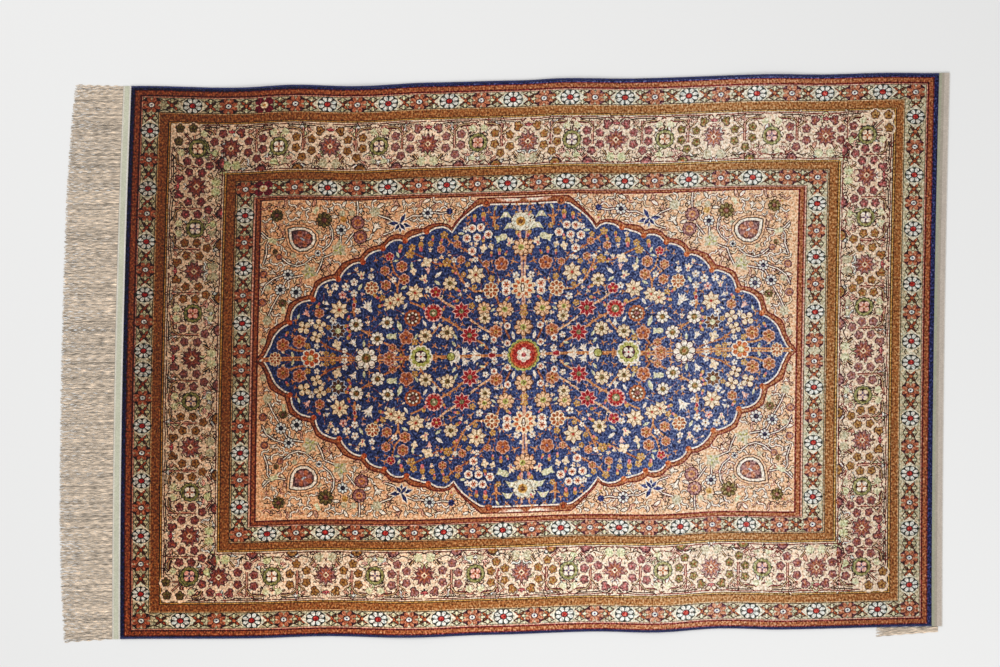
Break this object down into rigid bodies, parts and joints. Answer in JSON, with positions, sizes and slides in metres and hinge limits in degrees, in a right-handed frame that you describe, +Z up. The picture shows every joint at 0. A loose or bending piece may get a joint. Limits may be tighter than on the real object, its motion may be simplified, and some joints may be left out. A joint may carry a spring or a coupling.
{
  "type": "silk pile rug",
  "caption": "Thin hand-knotted silk rug lying flat, with overcast long sides, a fringe at one end and a turned-under flat-woven end at the other.",
  "frame": {"origin": "middle of the rug's whole outline, fringe and corner lock included, on the surface it lies on", "axes": "+X along the rug's length, from the fringe towards the turned-under end; +Z up, out of the pile"},
  "size_m": [1.6651, 1.0468, 0.0063],
  "materials": {
    "silk_pile": "short knotted silk pile, patterned, satin sheen",
    "navy_silk": "overcast navy silk yarn",
    "ivory_warp": "flat-woven ivory and pale green silk",
    "fringe_yarn": "loosely twisted ecru yarn"
  },
  "bodies": {
    "root": {"pile_panel": "silk_pile", "side_cord_far": "navy_silk", "side_cord_near": "navy_silk", "flat_band": "ivory_warp", "turned_end": "ivory_warp", "fringe": "fringe_yarn", "corner_tuft": "fringe_yarn"}
  },
  "joints": []
}
